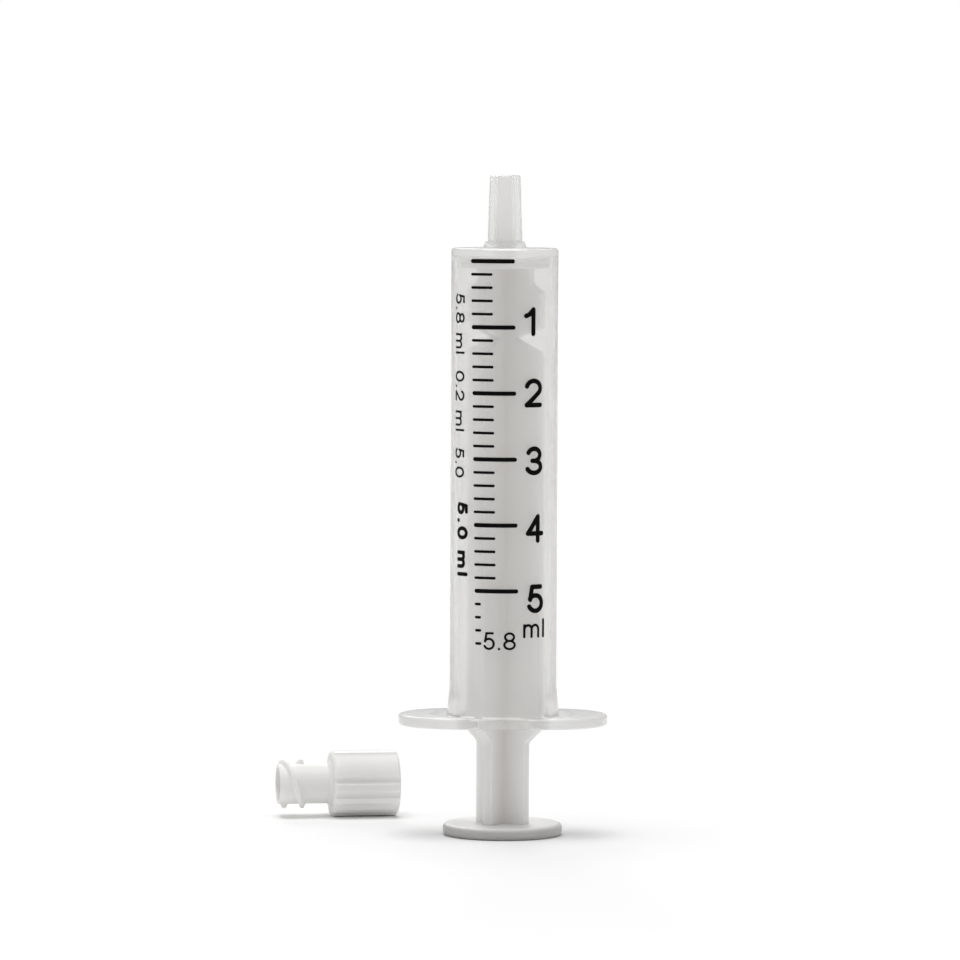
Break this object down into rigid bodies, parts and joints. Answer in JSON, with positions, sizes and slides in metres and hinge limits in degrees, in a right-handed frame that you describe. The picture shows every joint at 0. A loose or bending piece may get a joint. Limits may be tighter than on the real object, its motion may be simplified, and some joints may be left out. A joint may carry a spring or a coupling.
{
  "type": "oral syringe",
  "caption": "Clear two-part oral syringe with a finger flange, a tapered nozzle, a sliding plunger and a separate ribbed cap, for collecting and giving colostrum.",
  "frame": {"origin": "middle of the thumb plate's underside, on the syringe's axis", "axes": "+Z along the syringe towards its nozzle, +X along the finger flange's long side; the printed scale faces -Y"},
  "size_m": [0.0442, 0.0332, 0.0861],
  "materials": {
    "plunger_plastic": "milky polyethylene, satin",
    "barrel_plastic": "clear polypropylene with a faint haze",
    "ink": "printed black ink",
    "cap_plastic": "white moulded plastic, satin"
  },
  "bodies": {
    "plunger": {"plunger": "plunger_plastic", "cap": "cap_plastic"},
    "barrel": {"barrel": "barrel_plastic", "graduation_scale": "ink"}
  },
  "joints": [
    {"name": "barrel_slide", "type": "slide", "parent": "plunger", "child": "barrel", "axis": [0, 0, 1], "range_m": [0, 0.053]}
  ]
}
